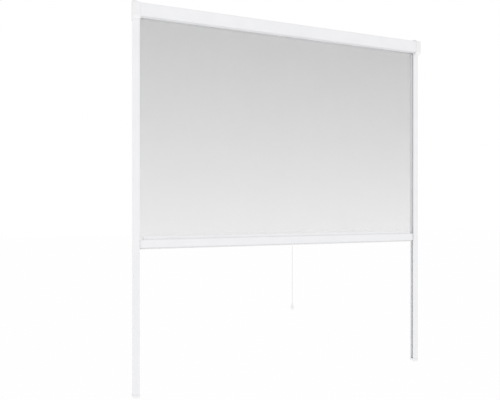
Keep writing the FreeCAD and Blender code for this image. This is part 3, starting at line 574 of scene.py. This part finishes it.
def wound_finish(name):
    """The same yarn, layer on layer, so hardly anything shows through."""
    finish, tree, shader = new_finish(name)
    stretch = (1 / YARN_STEP_ACROSS, 1 / YARN_STEP_UP, 1 / YARN_STEP_UP)
    weave = grain(tree, place_on(tree, stretch), 1.0, 2)
    tree.links.new(two_tones(tree, weave, *WOUND_GREYS), shader.inputs["Base Color"])
    tree.links.new(raise_by(tree, weave, WOUND_RELIEF), shader.inputs["Normal"])
    shader.inputs["Roughness"].default_value = 0.65
    return finish


bm = bmesh.new()
start_y = roll_axis.y + tube_outer + LAYER_STEP / 2
ends = [bm.verts.new((x, start_y, roll_axis.z)) for x in (roll_low[0], roll_high[0])]
edge = bm.edges.new(ends)
bmesh.ops.spin(
    bm,
    geom=[*ends, edge],
    cent=roll_axis,
    axis=(1, 0, 0),
    dvec=(0, LAYER_STEP / STEPS_A_TURN, 0),
    angle=-math.tau * layers,
    steps=layers * STEPS_A_TURN,
    use_merge=False,
    use_duplicate=False,
)
reach = max((vertex.co - roll_axis).yz.length for vertex in bm.verts)
mesh_wound = new_piece("mesh_wound", bm, wound_finish("wound_glass_yarn"), smooth=True)
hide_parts("mesh_roll")
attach(mesh_wound, "roller")
print("wound mesh: layers", layers, "outer radius in mm", round(reach / MM, 2))

# %% [markdown]
# Brush seals close the gaps beside the mesh, in the cassette's mouth and under the bar. A real seal is a thin
# backing strip with thousands of fine fibres in it. The single fibres are left to the finish: a noise that is drawn
# out along the fibre gives their fine stripes. The seals are one kind of brush drawn in lit and shaded tones: greyest
# deep in the rails, where the grey is painted shade, and paler under the bar and palest in the cassette's mouth,
# where the pale tones are painted light.

# %% Pile finish
# One brush in lit and shaded tones: painted shade in the rails, painted light under the bar and in the mouth.
PILE_GREY = (0.6, 0.605, 0.615)
PILE_PALE = (0.78, 0.785, 0.79)
PILE_WHITE = (0.9, 0.9, 0.9)
PILE_UNDER_BAR = ((0.7, 0.705, 0.71), (0.84, 0.84, 0.845))
FIBRES_A_METRE = 9000
ALONG_FIBRE_SCALE = 250
FIBRE_RELIEF = 0.08 * MM


def pile_finish(name, fibre_axis, dark, light):
    """Fine fibres: a noise that is drawn out along the fibre."""
    finish, tree, shader = new_finish(name)
    stretch = [FIBRES_A_METRE] * 3
    stretch["XYZ".index(fibre_axis)] = ALONG_FIBRE_SCALE
    fibres = grain(tree, place_on(tree, stretch), 1.0, 1)
    tree.links.new(two_tones(tree, fibres, dark, light), shader.inputs["Base Color"])
    tree.links.new(raise_by(tree, fibres, FIBRE_RELIEF), shader.inputs["Normal"])
    shader.inputs["Roughness"].default_value = 0.8
    shader.inputs["Sheen Weight"].default_value = 0.25
    shader.inputs["Sheen Roughness"].default_value = 0.5
    return finish


# Painted shade on the rails' seals, painted light on the mouth's and the bar's seals.
pile_deep = pile_finish("grey_pile", "Y", PILE_GREY, PILE_PALE)
pile_mouth = pile_finish("mouth_pile", "Y", PILE_PALE, PILE_WHITE)
pile_down = pile_finish("pale_pile", "Z", *PILE_UNDER_BAR)
print("pile finishes ready")

# %% [markdown]
# A tuft stands for some fifty fibres. It is a small four-sided fan, open at its foot, and doubling a row ten times
# over gives a thousand tufts in ten steps. A second row stands half a step on, so that the two close each other's
# gaps. A little seeded disorder at the tips keeps the edge from looking like a comb. A particle system could scatter
# real fibres, but they would be far too many to export.

# %% Tufts
BACKING_HEIGHT = 1.0 * MM
DOUBLINGS = 10
TUFT_FOOT = 0.75 * MM
TUFT_TIP = 1.15 * MM
ROW_OFFSET = 0.55 * MM
TIP_DISORDER = 0.28 * MM
PILE_SEED = 61
FACING_DOWN = -0.9


def doubled(bm):
    """Doubles all that the bmesh holds, and hands back the first points and the new ones."""
    everything = bm.verts[:] + bm.edges[:] + bm.faces[:]
    twin = bmesh.ops.duplicate(bm, geom=everything)["geom"]
    return [[part for part in parts if isinstance(part, bmesh.types.BMVert)] for parts in (everything, twin)]


def tuft_rows(bm, length, height):
    """Two rows of tufts along X, with their fibres up."""
    tuft_height = height - BACKING_HEIGHT
    step = length / 2**DOUBLINGS
    tuft = bmesh.ops.create_cone(
        bm, cap_ends=True, segments=4, radius1=TUFT_FOOT, radius2=TUFT_TIP, depth=tuft_height
    )["verts"]
    bmesh.ops.delete(bm, geom=[face for face in bm.faces if face.normal.z < FACING_DOWN], context="FACES_ONLY")
    bmesh.ops.rotate(bm, verts=tuft, matrix=Matrix.Rotation(math.radians(45), 3, "Z"))
    bmesh.ops.translate(bm, verts=tuft, vec=(step / 2, 0, BACKING_HEIGHT + tuft_height / 2))
    for number in range(DOUBLINGS):
        new_points = doubled(bm)[1]
        bmesh.ops.translate(bm, verts=new_points, vec=(step * 2**number, 0, 0))
    first_points, new_points = doubled(bm)
    bmesh.ops.translate(bm, verts=first_points, vec=(-step / 4, ROW_OFFSET, 0))
    bmesh.ops.translate(bm, verts=new_points, vec=(step / 4, -ROW_OFFSET, 0))


def ruffle(bm, length, height):
    """Moves each tip a little, and keeps every tuft within the seal's length."""
    chance = random.Random(PILE_SEED)
    for point in bm.verts:
        if point.co.z > height / 2:
            point.co.x += chance.uniform(-1, 1) * TIP_DISORDER
            point.co.y += chance.uniform(-1, 1) * TIP_DISORDER
            point.co.z -= chance.random() * TIP_DISORDER
        point.co.x = min(max(point.co.x, 0), length)


print("tufts in a seal:", 2 * 2**DOUBLINGS)

# %% [markdown]
# A seal is made in an easy place, with its length along X and its fibres up, and one matrix then turns it into the
# place of its packed strip. The strip's box gives the length and the height, so a seal fits wherever it goes.

# %% Seal helper
BACKING_WIDTH = 5.0 * MM


def seal(name, node, body, run, pile, finish):
    """One brush seal in the place of its CAD strip. run and pile are the ways its length and its fibres point."""
    low, high = (Vector(corner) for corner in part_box(node))
    run, pile = Vector(run), Vector(pile)
    size = high - low
    length = abs(size.dot(run))
    height = abs(size.dot(pile))
    bm = bmesh.new()
    tuft_rows(bm, length, height)
    ruffle(bm, length, height)
    strip = bmesh.ops.create_cube(bm, size=1)["verts"]
    bmesh.ops.scale(bm, verts=strip, vec=(length, BACKING_WIDTH, BACKING_HEIGHT))
    bmesh.ops.translate(bm, verts=strip, vec=(length / 2, 0, BACKING_HEIGHT / 2))
    root = (low + high) / 2 - pile * height / 2 - run * length / 2
    ways = Matrix((run, pile.cross(run), pile)).transposed()
    bmesh.ops.transform(bm, matrix=Matrix.Translation(root) @ ways.to_4x4(), verts=bm.verts)
    piece = new_piece(name, bm, finish)
    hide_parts(node)
    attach(piece, body)
    return len(piece.data.polygons)


print("seal helper ready")

# %% [markdown]
# Four seals stand in the rails' grooves, a rear and a front one on each side of the mesh. Two lie in the cassette's
# mouth, and one hangs under the bar and closes the gap below it.

# %% Brush seals
RAIL_SEALS = (
    ("left_rear", (0, -1, 0)),
    ("left_front", (0, 1, 0)),
    ("right_rear", (0, -1, 0)),
    ("right_front", (0, 1, 0)),
)
for place_name, fibre in RAIL_SEALS:
    seal(place_name + "_pile", place_name + "_brush", "frame", (0, 0, 1), fibre, pile_deep)
seal("mouth_rear_pile", "mouth_rear_brush", "frame", (1, 0, 0), (0, -1, 0), pile_mouth)
seal("mouth_front_pile", "mouth_front_brush", "frame", (1, 0, 0), (0, 1, 0), pile_mouth)
faces = seal("bar_pile", "bar_brush", "pull_bar", (1, 0, 0), (0, 0, -1), pile_down)
print("seals: 7, faces on the last one:", faces)

# %% [markdown]
# The pull cord is a thin braid that hangs from its eyelet and ends in the knob, which a hand can reach when the
# bar is high. A curve with a round bevel gives a tube of the right thickness. Its weight keeps it straight, so its
# route is only the exit, a point a few diameters below it and the end inside the knob.

# %% Pull cord
CORD_THICKNESS = 2.0 * MM
CORD_ROUTE_MM = ((9, -19, -148.6), (9, -19, -160.6), (9, -19, -403.9))

line = bpy.data.curves.new("cord_line", "CURVE")
line.dimensions = "3D"
line.bevel_depth = CORD_THICKNESS / 2
line.bevel_resolution = 4
line.resolution_u = 24
line.use_fill_caps = True
route = line.splines.new("NURBS")
route.points.add(len(CORD_ROUTE_MM) - 1)
for point, spot in zip(route.points, CORD_ROUTE_MM):
    point.co = (*(Vector(spot) * MM), 1)
route.order_u = 3
route.use_endpoint_u = True
cord = bpy.data.objects.new("braided_cord", line)
scene.collection.objects.link(cord)
print("cord from", CORD_ROUTE_MM[0][2], "to", CORD_ROUTE_MM[-1][2], "mm")

# %% [markdown]
# A braid is two sets of strands that wind round the cord both ways. In the finish each set is a wave of the height
# that leans with the way round the cord, and where both waves are high or both are low a strand stands out.

# %% Cord finish
STRANDS_ROUND = 4
BRAID_TURNS = 3200
BRAID_WHITES = ((0.66, 0.66, 0.665), (0.85, 0.85, 0.85))
BRAID_RELIEF = 0.12 * MM
cord_x, cord_y = (part * MM for part in CORD_ROUTE_MM[0][:2])


def braid_finish(name):
    """Two sets of diagonal strands: a wave of the height that leans with the way round the cord."""
    finish, tree, shader = new_finish(name)
    split = node_in(tree, "ShaderNodeSeparateXYZ")
    tree.links.new(place_on(tree, shift=(-cord_x, -cord_y, 0)), split.inputs["Vector"])
    round_about = calculate(tree, "ARCTAN2", split.outputs["Y"], split.outputs["X"])
    turns = calculate(tree, "MULTIPLY", round_about, STRANDS_ROUND)
    height = calculate(tree, "MULTIPLY", split.outputs["Z"], BRAID_TURNS)
    one_way = calculate(tree, "SINE", calculate(tree, "ADD", height, turns))
    other_way = calculate(tree, "SINE", calculate(tree, "SUBTRACT", height, turns))
    strands = calculate(tree, "MULTIPLY", one_way, other_way)
    tone = between(tree, strands, 0, 1, -1, 1)
    tree.links.new(two_tones(tree, tone, *BRAID_WHITES), shader.inputs["Base Color"])
    tree.links.new(raise_by(tree, tone, BRAID_RELIEF), shader.inputs["Normal"])
    shader.inputs["Roughness"].default_value = 0.75
    shader.inputs["Sheen Weight"].default_value = 0.2
    return finish


line.materials.append(braid_finish("white_braid"))
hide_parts("pull_cord")
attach(cord, "pull_bar")
print("strands round the cord:", STRANDS_ROUND)

# %% [markdown]
# The knob is a drop with a bore from each end, which slides over the cord's end and hides its knot. It is a turned
# shape, so half of its outline is spun once round the cord. A full spin merges its first and last columns, one face
# closes the end of each bore, and the normals are made to point outwards afterwards.

# %% Pull knob
KNOB_TOP = Vector((9, -19, -394.9)) * MM
KNOB_OUTLINE_MM = (
    (1.15, 9.8),
    (1.1, 0.6),
    (1.45, 0.0),
    (2.1, 0.1),
    (2.45, 0.7),
    (3.0, 2.8),
    (4.3, 7.2),
    (5.6, 11.2),
    (6.7, 14.2),
    (7.15, 16.8),
    (6.75, 19.5),
    (5.4, 22.0),
    (3.6, 23.5),
    (1.9, 23.95),
    (1.2, 23.6),
    (1.15, 22.8),
)
KNOB_STEPS = 32
MERGE_WITHIN = 0.01 * MM

bm = bmesh.new()
corners = [bm.verts.new(KNOB_TOP + Vector((radius, 0, -below)) * MM) for radius, below in KNOB_OUTLINE_MM]
sides = [bm.edges.new(pair) for pair in zip(corners, corners[1:])]
bmesh.ops.spin(
    bm,
    geom=corners + sides,
    cent=KNOB_TOP,
    axis=(0, 0, 1),
    dvec=(0, 0, 0),
    angle=math.tau,
    steps=KNOB_STEPS,
    use_merge=True,
    use_duplicate=False,
)
bmesh.ops.remove_doubles(bm, verts=bm.verts, dist=MERGE_WITHIN)
holes = [side for side in bm.edges if side.is_boundary]
bmesh.ops.holes_fill(bm, edges=holes, sides=0)
bmesh.ops.recalc_face_normals(bm, faces=bm.faces)
knob = new_piece("drop_knob", bm, white_plastic, smooth=True)
finer = knob.modifiers.new("finer", "SUBSURF")
finer.levels = 1
finer.render_levels = 1
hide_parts("pull_knob")
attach(knob, "pull_bar")
print("knob faces:", len(knob.data.polygons))

# %% [markdown]
# The cell prints the cord's thickness. The cord's ends are hidden in the eyelet and in the knob, and it leaves the
# eyelet at its lower end.

# %% Cord facts
print("cord declared, thickness in mm:", round(CORD_THICKNESS / MM, 1))

# %% [markdown]
# The last cell prints the box of the imported model.

# %% Size of the imported model
print("cad box", [round(v, 4) for v in (*cad_low, *cad_high)])
